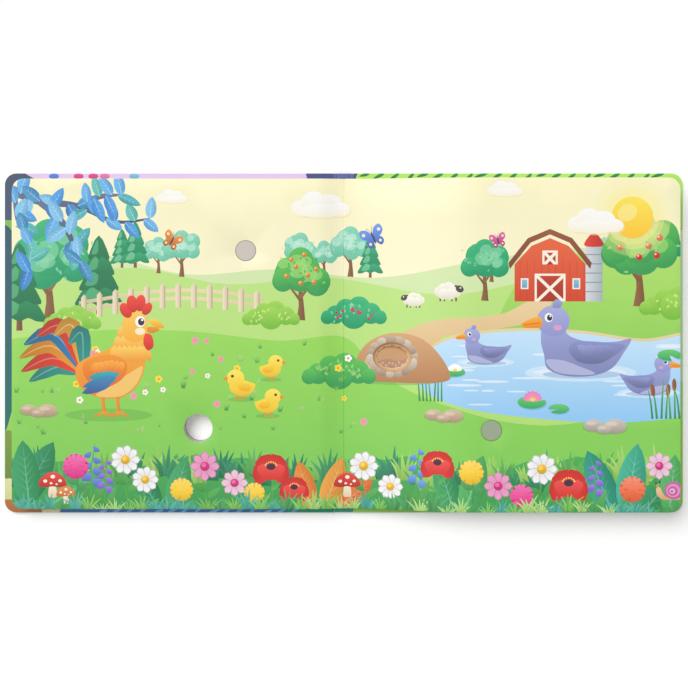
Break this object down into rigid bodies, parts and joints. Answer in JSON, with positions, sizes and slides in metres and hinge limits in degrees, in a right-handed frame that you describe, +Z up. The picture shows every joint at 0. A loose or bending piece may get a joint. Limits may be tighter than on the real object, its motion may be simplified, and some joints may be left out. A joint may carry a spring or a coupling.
{
  "type": "sound book",
  "caption": "Board book lying open at a spread, with thick page blocks, a peep hole, press-to-sound buttons, a hinged front cover and a battery sound module in its back.",
  "frame": {"origin": "on the table under the middle of the open book, at the gutter and half way up the pages", "axes": "+X across the spread towards the right page's fore-edge, +Y towards the head of the pages, +Z up"},
  "size_m": [0.414, 0.207, 0.0196],
  "materials": {
    "cover_print": "greyboard wrapped in printed paper, satin laminate",
    "page_print": "coated white board printed in full colour, soft gloss",
    "block_board": "raw die-cut board, matt",
    "spine_paper": "laminated cover paper",
    "case_plastic": "moulded, fine matt",
    "button_print": "printed grey disc, satin",
    "steel": "pressed and nickel plated",
    "magnet": "dark plated",
    "speaker_paper": "pressed black paper",
    "laminate": "green lacquered circuit laminate",
    "resin": "black epoxy",
    "switch_film": "clear film with printed tracks",
    "slider_plastic": "moulded black",
    "red_insulation": "soft vinyl",
    "black_insulation": "soft vinyl"
  },
  "bodies": {
    "back_half": {"back_cover": "cover_print", "spine": "spine_paper", "right_pages": "page_print", "sound_block": "block_board", "right_switch_film": "switch_film", "gutter_film": "switch_film", "right_switch_dome": "steel", "module_case": "case_plastic", "module_lid": "case_plastic", "battery_door": "case_plastic", "door_screw": "steel", "cell_1": "steel", "cell_2": "steel", "cell_3": "steel", "contact_top_link": "steel", "contact_door_link": "steel", "contact_plus": "steel", "contact_minus": "steel", "circuit_board": "laminate", "sound_chip": "resin", "speaker_frame": "steel", "speaker_magnet": "magnet", "speaker_cone": "speaker_paper", "switch_housing": "steel", "speaker_wire_red": "red_insulation", "speaker_wire_black": "black_insulation", "battery_wire_red": "red_insulation", "battery_wire_black": "black_insulation"},
    "front_half": {"front_cover": "cover_print", "left_pages": "page_print", "left_switch_film": "switch_film", "left_switch_dome": "steel"},
    "left_button": {"left_sound_button": "button_print"},
    "right_button": {"right_sound_button": "button_print"},
    "power_switch": {"switch_slider": "slider_plastic"}
  },
  "joints": [
    {"name": "cover_hinge", "type": "hinge", "parent": "back_half", "child": "front_half", "pos_m": [0, 0, 0.01503], "axis": [0, 1, 0], "range_deg": [0, 180], "deforming": ["spine"]},
    {"name": "left_button_press", "type": "slide", "parent": "front_half", "child": "left_button", "axis": [0, 0, -1], "range_m": [0, 0.0004], "stiffness_N_per_m": 600},
    {"name": "right_button_press", "type": "slide", "parent": "back_half", "child": "right_button", "axis": [0, 0, -1], "range_m": [0, 0.0004], "stiffness_N_per_m": 600},
    {"name": "power_switch_slide", "type": "slide", "parent": "back_half", "child": "power_switch", "axis": [1, 0, 0], "range_m": [0, 0.003]}
  ]
}
